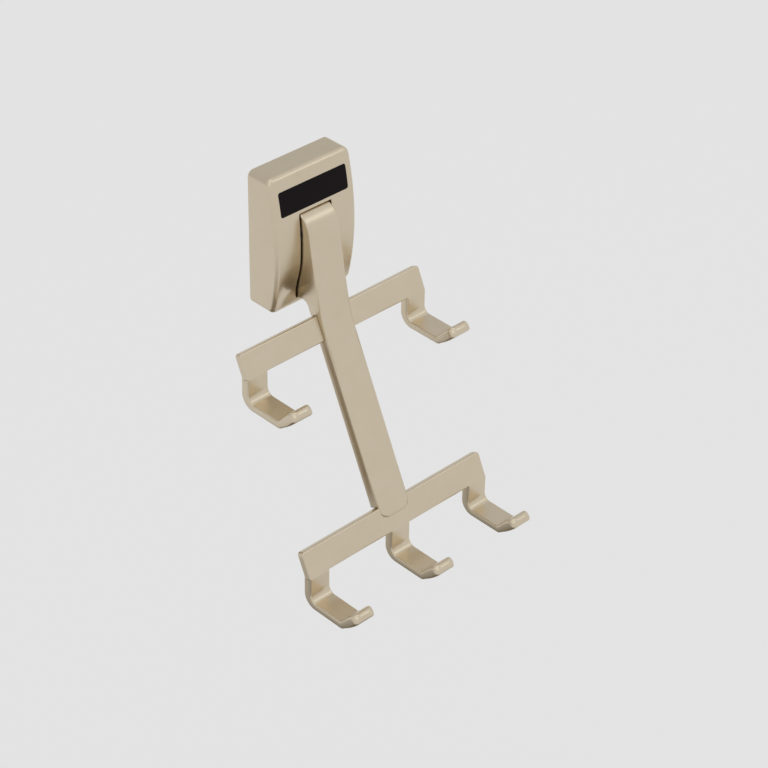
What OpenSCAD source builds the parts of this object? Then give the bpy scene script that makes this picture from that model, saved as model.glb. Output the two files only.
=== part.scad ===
// Wall-mounted belt hook: a cast housing on a hidden wall plate, with an arm that
// swings up on a cross pin and carries two crossbars, of two hooks and of three.
// Millimetres. The wall is the plane Y = 0, the front faces -Y, and Z is up.
// X is the width, and the middle of the housing's back is the origin.

/* [Housing] */
// Width of the housing
housing_w = 48.3; // [47:0.1:58]
// Height of the housing
housing_h = 69; // [66:0.5:84]
// Depth of the housing from the wall to the crown of its front
housing_d = 17.7; // [17:0.1:22]
// Drop of the bowed front from its crown to the top and bottom edges
housing_crown = 3.6; // [2:0.1:4.4]
// Thickness of the side walls
side_wall = 2.3; // [1.8:0.1:2.6]
// Thickness of the top and bottom walls
end_wall = 3.1; // [2.4:0.1:3.6]
// Thickness of the front wall
front_wall = 4; // [3.6:0.1:4.4]
// Radius of the four corners seen from the front
corner_r = 3.2; // [1:0.1:5]
// Radius of the edges round the front
edge_r = 2; // [1:0.1:2.6]

/* [Label inlay] */
// Width of the plain inlay
inlay_w = 39.5; // [30:0.5:41]
// Height of the plain inlay
inlay_h = 11.9; // [8:0.1:13]
// Height of the inlay's centre above the housing's centre
inlay_z = 21.6; // [21:0.1:24]
// Thickness of the inlay
inlay_t = 1; // [0.6:0.1:1.6]
// Radius of the inlay's corners
inlay_r = 1.2; // [0.5:0.1:3]
// Clearance round the inlay in its recess
inlay_gap = 0.1; // [0.05:0.05:0.3]
// Depth of the inlay's face below the housing's face
inlay_sink = 0.1; // [0:0.05:0.4]

/* [Pivot] */
// Distance of the pivot behind the crown of the housing's front
pivot_in = 4.5; // [4.2:0.1:5]
// Height of the pivot above the housing's centre
pivot_z = 3.2; // [0:0.1:3.6]
// Diameter of the pivot pin
pin_d = 5; // [4:0.1:5.4]
// Length of pin held in each clamp beyond its cheek
pin_grip = 3; // [2.5:0.1:3.4]
// Radial running clearance of the bushes on the pin
run_gap = 0.05; // [0.02:0.01:0.09]
// Wall of the bushes
bush_wall = 1.45; // [1:0.05:2]
// Length of each bush inside the arm
bush_l = 7; // [4:0.5:8]
// Diameter of the bush flanges
flange_d = 12; // [10:0.5:14]
// Thickness of the bush flanges
flange_t = 0.5; // [0.3:0.05:0.6]
// Thickness of the spring washer beside the right-hand flange
washer_t = 0.3; // [0.15:0.05:0.35]
// Gap between the arm and each side of the slot
slot_gap = 0.9; // [0.85:0.05:1.2]
// Gap over the arm's knuckle
knuckle_gap = 0.5; // [0.3:0.1:1]
// Thickness of the cheeks beside the slot
cheek_t = 2.2; // [1.6:0.1:2.6]

/* [Thumb scoops] */
// Depth of the scoops at the middle of the housing
scoop_depth = 1.7; // [1:0.1:2.2]
// Sweep radius of the scoops across the width
scoop_r = 170; // [120:10:240]
// Height of the scoops' upper end above the housing's centre
scoop_top = 10; // [4:0.5:12]
// Depth of the scoops' deepest line below the housing's centre
scoop_low = 22.5; // [18:0.5:25]
// Radius of the hollow along the deepest line
scoop_fillet = 4; // [2:0.5:6]
// Slope of the scoops' lower lip from level
scoop_lip_angle = 35; // [20:1:50]

/* [Arm] */
// Width of the arm
arm_w = 17.5; // [16:0.1:18]
// Thickness of the arm's straight part
arm_t = 6.7; // [6.4:0.1:8]
// Radius of the arm's knuckle
knuckle_r = 10.8; // [9.5:0.1:11]
// Lean of the neck from upright
neck_lean = 11.3; // [8:0.1:14]
// Lean of the straight part from upright
arm_lean = 25.2; // [22:0.1:30]
// Height of the neck from the pivot down to the bend
neck_h = 41.6; // [40:0.1:50]
// Radius of the bend in front
bend_r = 60; // [20:5:80]
// Height of the arm's heel above the housing's bottom wall
heel_gap = 0.7; // [0.5:0.1:1.5]
// Distance of the neck's back behind the crown of the housing's front
neck_in = 7.4; // [6.8:0.1:8]
// Radius under the neck
heel_r = 3.5; // [2:0.5:4]
// Radius of the corners at the arm's lower end
arm_end_r = 4.5; // [2:0.5:7]

/* [Crossbars] */
// Height of the upper bar along the arm's slope
upper_bar_h = 11.7; // [10:0.1:13]
// Height of the lower bar along the arm's slope
lower_bar_h = 13.5; // [12:0.1:16]
// Thickness of the bars
bar_t = 4.1; // [3.8:0.1:5]
// Radius of the bars' upper corners
bar_r = 1.6; // [0.5:0.1:3]
// Distance along the arm from the bend to the upper bar's lower edge
upper_bar_at = 6.8; // [5:0.1:12]
// Distance along the arm between the two bars' lower edges
bar_pitch = 97.9; // [80:0.1:120]
// Step from the arm's face down to the upper bar's face
upper_step = 2.2; // [1.8:0.1:2.6]
// Step from the arm's face down to the lower bar's face
lower_step = 0.8; // [0.6:0.1:1.6]
// Depth that the arm is let into each bar
lap_d = 1.8; // [1:0.1:2]
// Height that the arm's end laps over the lower bar
lap_h = 6.2; // [5:0.1:7]
// Clearance round the lap joints
lap_gap = 0.1; // [0.05:0.05:0.2]

/* [Hooks] */
// Distance of the upper bar's hooks from the middle
upper_hook_x = 49.3; // [40:0.1:60]
// Distance of the lower bar's outer hooks from its middle hook
lower_hook_x = 51; // [42:0.5:60]
// Width of each hook
hook_w = 11.4; // [9:0.1:14]
// Drop from a bar's lower edge to the top of the hook's shelf
leg_h = 12.6; // [10:0.1:24]
// Thickness of the upright leg
leg_t = 4.5; // [4.3:0.1:5.2]
// Length of the shelf from the leg to the tip
shelf_l = 19.3; // [16:0.1:30]
// Thickness of the shelf
shelf_t = 3.6; // [3:0.1:4]
// Outer radius where the leg meets the shelf
heel_out_r = 7; // [4.5:0.5:8]
// Inner radius where the leg meets the shelf
heel_in_r = 3; // [1:0.5:4]
// Length of the raised tip
tip_l = 11.8; // [8:0.1:18]
// Thickness of the raised tip
tip_t = 3.5; // [3:0.1:4]
// Rise of the tip from level
tip_rise = 46; // [30:1:70]

/* [Wall plate] */
// Thickness of the plate
plate_t = 2.4; // [2.2:0.1:3]
// Clearance between the plate and the housing's walls
plate_gap = 0.3; // [0.2:0.05:0.5]
// Distance between the two wall holes
wall_pitch = 32; // [32:1:40]
// Diameter of the wall holes
wall_hole_d = 4.5; // [3.5:0.1:4.6]
// Diameter of the wall holes' countersinks
wall_csk_d = 7.8; // [7:0.1:8.4]
// Distance of the lugs and lock screws from the middle
lug_x = 17; // [16.8:0.1:17.4]
// Width of each lug
lug_w = 7; // [6:0.5:7.5]
// Clearance in front of the lugs
lug_gap = 0.8; // [0.5:0.1:1.2]
// Thickness of the lugs
lug_t = 2.6; // [2.2:0.1:3.2]
// Height of the hooked nose on each upper lug
nose_h = 1.3; // [0.8:0.1:1.5]

/* [Fasteners] */
// Diameter of the crossbar and clamp screws
screw_d = 3; // [2.5:0.1:3]
// Clearance between a screw and its hole
thread_gap = 0.02; // [0.02:0.01:0.04]
// Diameter of the countersunk heads
head_d = 5.4; // [5:0.1:5.6]
// Distance between the two screws of each crossbar
bar_screw_pitch = 9; // [7:0.5:11]
// Depth of metal left in front of each crossbar screw
blind_wall = 0.8; // [0.5:0.1:1]
// Diameter of the lock screws
lock_d = 4; // [3:0.5:4]
// Thickness of the pin clamps
clamp_t = 4.4; // [4:0.1:5]
// Height of the pin clamps
clamp_h = 12; // [9:0.5:13]

/* [Rest pad] */
// Width of the rest pad
pad_w = 12; // [8:1:16]
// Height of the rest pad
pad_h = 8; // [5:0.5:9]
// Thickness of the rest pad
pad_t = 2; // [1.5:0.1:2.4]
// Diameter of the pad's peg
peg_d = 4; // [3:0.5:5]
// Gap between the pad and the arm at rest
rest_gap = 0.2; // [0.1:0.05:0.4]

/* [Hidden] */
$fn = 64;

// How far cutters reach past a face, and how far joined shapes run into each other
cut = 0.5;
join = 0.01;

metal = [0.74, 0.68, 0.55];
steel = [0.62, 0.63, 0.65];
black = [0.09, 0.08, 0.08];
nylon = [0.88, 0.87, 0.82];

// Housing: the front is an arc about an axis that runs along X behind the wall
face_r = (pow(housing_h / 2, 2) + pow(housing_crown, 2)) / (2 * housing_crown);
face_axis = face_r - housing_d;
edge_z = housing_h / 2 - edge_r;
edge_y = face_axis - sqrt(pow(face_r - edge_r, 2) - pow(edge_z, 2));
blend_z = edge_z * face_r / (face_r - edge_r);
room_w = housing_w - 2 * side_wall;
room_h = housing_h - 2 * end_wall;
through_d = housing_d + 2 * cut;
disc_band = 25;
function face_y(z) = face_axis - sqrt(face_r * face_r - z * z);

// Pivot
pivot_y = pivot_in - housing_d;
arm_half = arm_w / 2;
slot_half = arm_half + slot_gap;
cheek_x = slot_half + cheek_t;
plate_play = 0.8;
cheek_back = plate_t + plate_play;
pin_l = 2 * (cheek_x + pin_grip);
pin_end_gap = 0.1;
bush_in_r = pin_d / 2 + run_gap;
bush_out_r = bush_in_r + bush_wall;
washer_x = arm_half + flange_t + (slot_gap - flange_t - washer_t) / 2;

// Pin clamps: one outside each cheek, on flat pads of the front wall
clamp_past_axis = 0.2;
clamp_cheek_gap = 0.3;
clamp_wall_gap = 0.8;
clamp_pad_margin = 0.5;
clamp_bite = 2.6;
screw_end_gap = 0.2;
clamp_seat = -pivot_y - clamp_past_axis;
clamp_in = cheek_x + clamp_cheek_gap;
clamp_out = room_w / 2 - clamp_wall_gap;
clamp_screw_x = (cheek_x + pin_grip + clamp_out) / 2;
clamp_screw_l = clamp_t + clamp_bite;

// Scoops: the cutter is a band that sweeps round an upright axis in front
scoop_sweep = 24;
scoop_band = 16;
scoop_top_run = 45;
scoop_lip_run = 8;
valley_y = face_y(scoop_low) + scoop_depth;
scoop_axis = valley_y - scoop_r;
scoop_top_r = face_y(scoop_top) - scoop_axis;
scoop_fall = atan2(scoop_r - scoop_top_r, scoop_top + scoop_low);

// Arm: the knuckle's front tangent runs down the neck to the bend, and the straight
// part leans out from there. Points are [y, z]; down is a unit vector along the
// straight part, and out is a unit vector square to its face.
function unit(a) = [-sin(a), -cos(a)];
down = unit(arm_lean);
out = [-cos(arm_lean), sin(arm_lean)];
neck_down = unit(neck_lean);
pivot = [pivot_y, pivot_z];
knuckle_front = pivot + knuckle_r * [-cos(neck_lean), sin(neck_lean)];
bend = knuckle_front + neck_down * (neck_h + knuckle_front[1] - pivot_z) / cos(neck_lean);
function on_arm(s, n) = bend + s * down + n * out;
lower_bar_at = upper_bar_at + bar_pitch;
arm_end = lower_bar_at - lower_bar_h + lap_h;
heel_z = -room_h / 2 + heel_gap;
heel_back = housing_d - neck_in;
back_top = on_arm(0, -arm_t);
heel_y = back_top[0] + (heel_z - back_top[1]) * down[0] / down[1];
shoulder_at = lower_bar_at - lower_bar_h - lap_gap;
tongue_t = lower_step + lap_d;
web_t = upper_step + lap_d;

// Crossbars: the corner is where a bar's face meets its lower edge
upper_corner = on_arm(upper_bar_at, -upper_step);
lower_corner = on_arm(lower_bar_at, -lower_step);
lower_screw_drop = 0.2;
upper_screw_rise = upper_bar_h / 2;
lower_screw_rise = lower_bar_h - lap_h / 2 - lower_screw_drop;
upper_grip = web_t - blind_wall - screw_end_gap;
lower_grip = tongue_t - blind_wall - screw_end_gap;

// Wall plate
plate_w = room_w - 2 * plate_gap;
plate_h = room_h - 2 * plate_gap;
lug_play = 0.3;
lug_side_gap = 0.4;
nose_t = 1.8;
nose_gap = 0.3;
upper_lug_z = room_h / 2 - lug_play - lug_t;
lug_tip = face_y(room_h / 2) + front_wall + lug_gap;
lug_reach = -lug_tip - plate_t;
lock_forward = 0.6;
lock_boss_wall = 1.6;
lock_boss_h = 3.2;
lock_sink = 0.4;
lock_chamfer = 0.8;
lock_socket = 2;
lock_y = -(plate_t + lug_reach / 2 + lock_forward);
lock_boss_r = lock_d / 2 + lock_boss_wall;
lock_top = -room_h / 2 + lock_boss_h;
lock_l = end_wall + lock_boss_h - lock_sink;
lower_lug_z = lock_top + lug_play;

// Rest pad: on a rib between the cheeks
pad_y = -heel_back + rest_gap;
rib_y = pad_y + pad_t;
rib_t = 2.2;
rib_margin = 1.5;
pad_rise = 2.5;
pad_z = -room_h / 2 + pad_rise + pad_h / 2;
rib_top = pad_z + pad_h / 2 + rib_margin;

// Hexagon sockets of the screws, as a share of the thread's diameter
socket_depth = 1;
screw_socket = 0.62;
lock_socket_share = 0.56;

// Draws a [y, z] outline as a solid of width w across X
module across(w) {
    rotate([90, 0, 90]) linear_extrude(height = w, center = true) children();
}

// Draws an [x, z] outline as a solid from depth y0 to depth y1 in front of the wall
module forward(y0, y1) {
    translate([0, -y0, 0]) rotate([90, 0, 0]) linear_extrude(height = y1 - y0) children();
}

module rounded_rect(w, h, r) {
    square([w - 2 * r, h], center = true);
    square([w, h - 2 * r], center = true);
    for (x = [-1, 1], y = [-1, 1])
        translate([x * (w / 2 - r), y * (h / 2 - r)]) circle(r);
}

// The arc of radius r that rounds the inner corner at v, between unit vectors a and b:
// how far from v it starts, and its centre
function arc_run(a, b, r) = r / tan(acos(a * b) / 2);
function arc_centre(v, a, b, r) = v + (a + b) / norm(a + b) * r / sin(acos(a * b) / 2);

// Fills the inner corner at v, between unit vectors a and b, with radius r
module corner_fill(v, a, b, r) {
    run = arc_run(a, b, r);
    middle = arc_centre(v, a, b, r);
    difference() {
        polygon([v - cut * (a + b), v + a * run, middle, v + b * run]);
        translate(middle) circle(r, $fn = 128);
    }
}

// Countersunk screw along -Z from its flat head at the origin
module countersunk(d, head, l) {
    rise = (head - d) / 2;
    difference() {
        union() {
            translate([0, 0, -rise]) cylinder(h = rise, d1 = d, d2 = head);
            translate([0, 0, -l]) cylinder(h = l - rise + join, d = d);
        }
        translate([0, 0, -socket_depth])
            cylinder(h = socket_depth + cut, d = d * screw_socket, $fn = 6);
    }
}

// The hole that takes the screw above, open above the head
module countersunk_hole(d, head, l) {
    rise = (head - d) / 2;
    g = thread_gap;
    translate([0, 0, -rise - g]) cylinder(h = rise + g, d1 = d + 2 * g, d2 = head + 4 * g);
    translate([0, 0, -g / 2]) cylinder(h = cut, d = head + 4 * g);
    translate([0, 0, -l]) cylinder(h = l, d = d + 2 * g);
}

// Housing

module side_outline() {
    intersection() {
        translate([face_axis, 0]) circle(face_r, $fn = 256);
        translate([-through_d, -blend_z]) square([through_d, 2 * blend_z]);
    }
    for (s = [-1, 1]) translate([edge_y, s * edge_z]) circle(edge_r);
    translate([edge_y, -housing_h / 2]) square([-edge_y, housing_h]);
}

// Disc about the front's own axis, with a rounded rim
module bowed_disc(r, w, rim) {
    translate([0, face_axis, 0]) rotate([0, 90, 0]) rotate_extrude($fn = 256) {
        translate([r - disc_band, -w / 2]) square([disc_band - rim, w]);
        translate([r - disc_band, -w / 2 + rim]) square([disc_band, w - 2 * rim]);
        for (s = [-1, 1]) translate([r - rim, s * (w / 2 - rim)]) circle(rim);
    }
}

module housing_block() {
    intersection() {
        across(housing_w) side_outline();
        bowed_disc(face_r, housing_w, edge_r);
        forward(0, through_d) rounded_rect(housing_w, housing_h, corner_r);
    }
}

module housing_room() {
    intersection() {
        translate([-room_w / 2, -housing_d, -room_h / 2])
            cube([room_w, housing_d + cut, room_h]);
        bowed_disc(face_r - front_wall, housing_w, edge_r);
    }
}

// Outline of the scoops' cutter: [radius, z] about an upright axis in front
module scoop_outline() {
    c = [scoop_r - scoop_fillet, -scoop_low];
    lip = 90 - scoop_lip_angle;
    steps = 6;
    arc = [for (i = [0 : steps]) let (a = scoop_fall - i * (scoop_fall + lip) / steps)
        c + scoop_fillet * [cos(a), sin(a)]];
    lip_end = arc[steps] + scoop_lip_run * [-cos(scoop_lip_angle), -sin(scoop_lip_angle)];
    top = arc[0] + scoop_top_run * [-sin(scoop_fall), cos(scoop_fall)];
    inner = scoop_r - scoop_band;
    polygon(concat([[inner, top[1]], top], arc, [lip_end, [inner, lip_end[1]]]));
}

module scoop_cutter() {
    translate([0, scoop_axis, 0]) rotate([0, 0, 90 - scoop_sweep / 2])
        rotate_extrude(angle = scoop_sweep, $fn = 360) scoop_outline();
}

module slot_cutter() {
    across(2 * slot_half) {
        translate([-through_d, -room_h / 2])
            square([through_d - heel_back, room_h / 2 + pivot_z]);
        translate(pivot) circle(knuckle_r + knuckle_gap, $fn = 128);
    }
}

module pin_groove() {
    translate([0, pivot_y, pivot_z]) rotate([0, 90, 0])
        cylinder(h = pin_l + 2 * pin_end_gap, d = pin_d + 2 * thread_gap, center = true);
    translate([-cheek_x - join, pivot_y, pivot_z - pin_d / 2 - thread_gap])
        cube([2 * (cheek_x + join), -pivot_y, pin_d + 2 * thread_gap]);
}

module housing_inside() {
    for (s = [-1, 1]) {
        translate([s * (slot_half + cheek_t / 2) - cheek_t / 2, -housing_d, -room_h / 2 - cut])
            cube([cheek_t, housing_d - cheek_back, room_h / 2 + cut + pivot_z + knuckle_r]);
        translate([s * (slot_half + room_w / 2 + cut) / 2, -clamp_seat, pivot_z])
            rotate([90, 0, 0]) linear_extrude(height = housing_d)
                square([room_w / 2 + cut - slot_half, clamp_h + 2 * clamp_pad_margin],
                    center = true);
        translate([s * lug_x, lock_y, -housing_h / 2])
            cylinder(h = end_wall + lock_boss_h, r = lock_boss_r);
    }
    translate([-cheek_x, rib_y, -room_h / 2 - cut])
        cube([2 * cheek_x, rib_t, rib_top + room_h / 2 + cut]);
}

module inlay_outline(gap) {
    translate([0, inlay_z]) rounded_rect(inlay_w + 2 * gap, inlay_h + 2 * gap, inlay_r + gap);
}

module housing() {
    color(metal) difference() {
        union() {
            difference() {
                housing_block();
                housing_room();
            }
            intersection() {
                housing_block();
                housing_inside();
            }
        }
        slot_cutter();
        scoop_cutter();
        pin_groove();
        difference() {
            forward(0, through_d) inlay_outline(inlay_gap);
            bowed_disc(face_r - inlay_t - inlay_sink, housing_w + 2, edge_r);
        }
        translate([0, rib_y - cut, pad_z]) rotate([-90, 0, 0])
            cylinder(h = rib_t + 2 * cut, d = peg_d);
        for (s = [-1, 1]) {
            translate([s * clamp_screw_x, -clamp_seat + cut, pivot_z]) rotate([90, 0, 0])
                cylinder(h = clamp_bite + screw_end_gap + cut, d = screw_d + 2 * thread_gap);
            translate([s * lug_x, lock_y, -housing_h / 2 - cut])
                cylinder(h = end_wall + lock_boss_h + 2 * cut, d = lock_d + 2 * thread_gap);
            translate([s * lug_x - lug_w / 2 - lug_side_gap, -plate_t - lug_reach - nose_gap,
                room_h / 2 - cut])
                cube([lug_w + 2 * lug_side_gap, nose_t + 2 * nose_gap, nose_h + cut]);
        }
    }
}

module label_inlay() {
    color(black) intersection() {
        forward(0, through_d) inlay_outline(0);
        difference() {
            bowed_disc(face_r - inlay_sink, housing_w + 2, edge_r);
            bowed_disc(face_r - inlay_t - inlay_sink, housing_w + 4, edge_r);
        }
    }
}

// Wall plate and its lock screws

module wall_plate() {
    color(steel) difference() {
        union() {
            forward(0, plate_t) rounded_rect(plate_w, plate_h, 1);
            for (s = [-1, 1]) {
                translate([s * lug_x - lug_w / 2, -plate_t - lug_reach, lower_lug_z])
                    cube([lug_w, lug_reach + cut, lug_t]);
                translate([s * lug_x - lug_w / 2, -plate_t - lug_reach, upper_lug_z])
                    cube([lug_w, lug_reach + cut, lug_t]);
                translate([s * lug_x - lug_w / 2, -plate_t - lug_reach, upper_lug_z])
                    cube([lug_w, nose_t, lug_t + nose_h]);
            }
        }
        for (z = [-wall_pitch / 2, wall_pitch / 2]) translate([0, 0, z]) {
            rotate([90, 0, 0]) translate([0, 0, -cut])
                cylinder(h = plate_t + 2 * cut, d = wall_hole_d);
            translate([0, -plate_t, 0]) rotate([-90, 0, 0])
                cylinder(h = (wall_csk_d - wall_hole_d) / 2, d1 = wall_csk_d, d2 = wall_hole_d);
        }
    }
}

module lock_screw() {
    translate([0, lock_y, lower_lug_z - lock_l]) difference() {
        union() {
            cylinder(h = lock_l - lock_chamfer, d = lock_d);
            translate([0, 0, lock_l - lock_chamfer])
                cylinder(h = lock_chamfer, d1 = lock_d, d2 = lock_d - 2 * lock_chamfer);
        }
        translate([0, 0, -cut])
            cylinder(h = lock_socket + cut, d = lock_d * lock_socket_share, $fn = 6);
    }
}

module left_lock_screw() { color(steel) translate([-lug_x, 0, 0]) lock_screw(); }
module right_lock_screw() { color(steel) translate([lug_x, 0, 0]) lock_screw(); }

// Pivot

module pivot_pin() {
    chamfer = 0.4;
    color(steel) translate([0, pivot_y, pivot_z]) rotate([0, 90, 0]) {
        cylinder(h = pin_l - 2 * chamfer, d = pin_d, center = true);
        for (s = [-1, 1]) translate([0, 0, s * (pin_l - chamfer) / 2])
            cylinder(h = chamfer, d1 = pin_d - (1 - s) * chamfer, d2 = pin_d - (1 + s) * chamfer,
                center = true);
    }
}

module pin_clamp() {
    difference() {
        translate([clamp_in, -clamp_seat, pivot_z - clamp_h / 2])
            cube([clamp_out - clamp_in, clamp_t, clamp_h]);
        translate([0, pivot_y, pivot_z]) rotate([0, 90, 0])
            cylinder(h = cheek_x + pin_grip + pin_end_gap, d = pin_d + 2 * thread_gap);
        translate([clamp_screw_x, -clamp_seat + clamp_t, pivot_z]) rotate([-90, 0, 0])
            countersunk_hole(screw_d, head_d, clamp_t + cut);
    }
}

module left_pin_clamp() { color(steel) mirror([1, 0, 0]) pin_clamp(); }
module right_pin_clamp() { color(steel) pin_clamp(); }

module clamp_screw() {
    translate([clamp_screw_x, -clamp_seat + clamp_t, pivot_z]) rotate([-90, 0, 0])
        countersunk(screw_d, head_d, clamp_screw_l);
}

module left_clamp_screw() { color(steel) mirror([1, 0, 0]) clamp_screw(); }
module right_clamp_screw() { color(steel) clamp_screw(); }

module rest_pad() {
    color(black) {
        translate([-pad_w / 2, pad_y, pad_z - pad_h / 2]) cube([pad_w, pad_t, pad_h]);
        translate([0, rib_y - join, pad_z]) rotate([-90, 0, 0])
            cylinder(h = rib_t, d = peg_d - 2 * thread_gap);
    }
}

module spring_washer() {
    rim_inset = 0.5;
    bore_gap = 0.1;
    color(steel) translate([washer_x, pivot_y, pivot_z]) rotate([0, 90, 0]) difference() {
        cylinder(h = washer_t, d = flange_d - 2 * rim_inset);
        translate([0, 0, -cut]) cylinder(h = washer_t + 2 * cut, d = pin_d + 2 * bore_gap);
    }
}

module bush() {
    translate([0, pivot_y, pivot_z]) rotate([0, 90, 0]) difference() {
        union() {
            translate([0, 0, arm_half - bush_l]) cylinder(h = bush_l, r = bush_out_r);
            translate([0, 0, arm_half]) cylinder(h = flange_t, d = flange_d);
        }
        translate([0, 0, arm_half - bush_l - cut])
            cylinder(h = bush_l + flange_t + 2 * cut, r = bush_in_r);
    }
}

module left_bush() { color(nylon) mirror([1, 0, 0]) bush(); }
module right_bush() { color(nylon) bush(); }

// Arm

module arm_side() {
    past_back = 3;
    heel = [heel_y, heel_z];
    level = [1, 0];
    bend_run = arc_run(-neck_down, down, bend_r);
    bend_centre = arc_centre(bend, -neck_down, down, bend_r);
    heel_run = arc_run(level, down, heel_r);
    heel_centre = arc_centre(heel, level, down, heel_r);
    difference() {
        union() {
            translate(pivot) circle(knuckle_r, $fn = 128);
            polygon([knuckle_front, bend - neck_down * bend_run, bend_centre,
                bend + down * bend_run, on_arm(arm_end, 0), on_arm(arm_end, -tongue_t),
                on_arm(shoulder_at, -tongue_t), on_arm(shoulder_at, -arm_t),
                heel + down * heel_run, heel_centre, heel + level * heel_run,
                [-heel_back, heel_z], [-heel_back, pivot_z], pivot]);
        }
        translate(bend_centre) circle(bend_r, $fn = 256);
        translate(heel_centre) circle(heel_r, $fn = 128);
        polygon([on_arm(upper_bar_at + lap_gap, -web_t),
            on_arm(upper_bar_at + lap_gap, -past_back * arm_t),
            on_arm(upper_bar_at - upper_bar_h - lap_gap, -arm_t - past_back),
            on_arm(upper_bar_at - upper_bar_h - lap_gap, -web_t)]);
    }
}

// Places children at a point on the arm's face: X across, Y up the slope, Z outward
module on_face(p) {
    translate([0, p[0], p[1]]) rotate([90 - arm_lean, 0, 0]) children();
}

// Outline of the arm seen square to its straight part, from its rounded end upward
module arm_front() {
    r = arm_end_r;
    translate([-arm_half, r]) square([arm_w, arm_end + neck_h + 3 * knuckle_r]);
    translate([r - arm_half, 0]) square([arm_w - 2 * r, r + cut]);
    for (s = [-1, 1]) translate([s * (arm_half - r), r]) circle(r);
}

module arm() {
    behind = 80;
    ahead = 40;
    color(metal) difference() {
        intersection() {
            across(arm_w + 2 * cut) arm_side();
            on_face(on_arm(arm_end, 0)) translate([0, 0, -behind])
                linear_extrude(height = behind + ahead) arm_front();
        }
        translate([0, pivot_y, pivot_z]) rotate([0, 90, 0])
            cylinder(h = arm_w + 2 * cut, r = bush_out_r + thread_gap / 2, center = true);
        for (s = [-1, 1]) {
            on_face(on_arm(upper_bar_at - upper_screw_rise, -web_t))
                translate([s * bar_screw_pitch / 2, 0, -cut])
                    cylinder(h = web_t - blind_wall + cut, d = screw_d + 2 * thread_gap);
            on_face(on_arm(lower_bar_at - lower_screw_rise, -tongue_t))
                translate([s * bar_screw_pitch / 2, 0, -cut])
                    cylinder(h = tongue_t - blind_wall + cut, d = screw_d + 2 * thread_gap);
        }
    }
}

// Crossbars

// Side outline of one hook, from the point where the bar's face meets its lower edge
module hook_side() {
    lower_back = [bar_t * cos(arm_lean), -bar_t * sin(arm_lean)];
    leg_top = lower_back[1] + (leg_t - lower_back[0]) / tan(arm_lean) + bar_t / 2;
    round_c = [leg_t - heel_out_r, -leg_h - shelf_t + heel_out_r];
    crease = [-shelf_l, -leg_h];
    polygon([[0, 0], [leg_t, leg_top], [leg_t, round_c[1]], [0, round_c[1]]]);
    difference() {
        union() {
            intersection() {
                translate(round_c) circle(heel_out_r);
                translate([round_c[0], round_c[1] - heel_out_r])
                    square([heel_out_r, heel_out_r + join]);
            }
            translate([-shelf_l, -leg_h - shelf_t])
                square([shelf_l + round_c[0] + join, shelf_t]);
        }
        translate([-shelf_l, -leg_h]) square([shelf_l, leg_h]);
    }
    translate([0, -leg_h]) corner_fill([0, 0], [-1, 0], [0, 1], heel_in_r);
    intersection() {
        translate(crease) circle(shelf_t);
        translate(crease - [shelf_t, shelf_t]) square(shelf_t);
    }
    translate(crease) rotate(-tip_rise) {
        translate([-tip_l + tip_t / 2, -tip_t]) square([tip_l - tip_t / 2, tip_t]);
        translate([-tip_l + tip_t / 2, -tip_t / 2]) circle(tip_t / 2);
    }
}

// Front outline of a bar of length l and height h above its lower edge
module bar_front(l, h) {
    translate([-l / 2, 0]) square([l, h - bar_r]);
    translate([-l / 2 + bar_r, 0]) square([l - 2 * bar_r, h]);
    for (s = [-1, 1]) translate([s * (l / 2 - bar_r), h - bar_r]) circle(bar_r);
}

// Bar of height h whose outer hooks stand at the distance x from the middle
module bar_with_hooks(corner, h, x, places) {
    on_face(corner) translate([0, 0, -bar_t]) linear_extrude(height = bar_t)
        bar_front(2 * x + hook_w, h);
    for (place = places) translate([place * x, corner[0], corner[1]]) across(hook_w) hook_side();
}

module bar_screw_holes(corner, rise) {
    for (s = [-1, 1]) on_face(corner) translate([s * bar_screw_pitch / 2, rise, -bar_t])
        rotate([180, 0, 0]) countersunk_hole(screw_d, head_d, bar_t + cut);
}

module bar_screw(corner, rise, side, grip) {
    on_face(corner) translate([side * bar_screw_pitch / 2, rise, -bar_t])
        rotate([180, 0, 0]) countersunk(screw_d, head_d, bar_t - lap_d + grip);
}

module upper_crossbar() {
    color(metal) difference() {
        bar_with_hooks(upper_corner, upper_bar_h, upper_hook_x, [-1, 1]);
        on_face(upper_corner) translate([-arm_half - lap_gap, -cut, -lap_d])
            cube([arm_w + 2 * lap_gap, upper_bar_h + 2 * cut, lap_d + cut]);
        bar_screw_holes(upper_corner, upper_screw_rise);
    }
}

module lower_crossbar() {
    g = lap_gap;
    floor_up = lower_bar_h - lap_h - g;
    r = arm_end_r + g;
    color(metal) difference() {
        bar_with_hooks(lower_corner, lower_bar_h, lower_hook_x, [-1, 0, 1]);
        on_face(lower_corner) translate([0, 0, -lap_d]) linear_extrude(height = lap_d + cut) {
            translate([-arm_half - g, floor_up + r]) square([arm_w + 2 * g, lap_h + cut]);
            translate([-arm_half - g + r, floor_up]) square([arm_w + 2 * (g - r), lap_h]);
            for (s = [-1, 1]) translate([s * (arm_half + g - r), floor_up + r]) circle(r);
        }
        bar_screw_holes(lower_corner, lower_screw_rise);
    }
}

module upper_screw(side) { bar_screw(upper_corner, upper_screw_rise, side, upper_grip); }
module lower_screw(side) { bar_screw(lower_corner, lower_screw_rise, side, lower_grip); }

module upper_screw_left() { color(steel) upper_screw(-1); }
module upper_screw_right() { color(steel) upper_screw(1); }
module lower_screw_left() { color(steel) lower_screw(-1); }
module lower_screw_right() { color(steel) lower_screw(1); }

housing();
label_inlay();
wall_plate();
left_lock_screw();
right_lock_screw();
pivot_pin();
left_pin_clamp();
right_pin_clamp();
left_clamp_screw();
right_clamp_screw();
rest_pad();
spring_washer();
arm();
left_bush();
right_bush();
upper_crossbar();
lower_crossbar();
upper_screw_left();
upper_screw_right();
lower_screw_left();
lower_screw_right();
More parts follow.
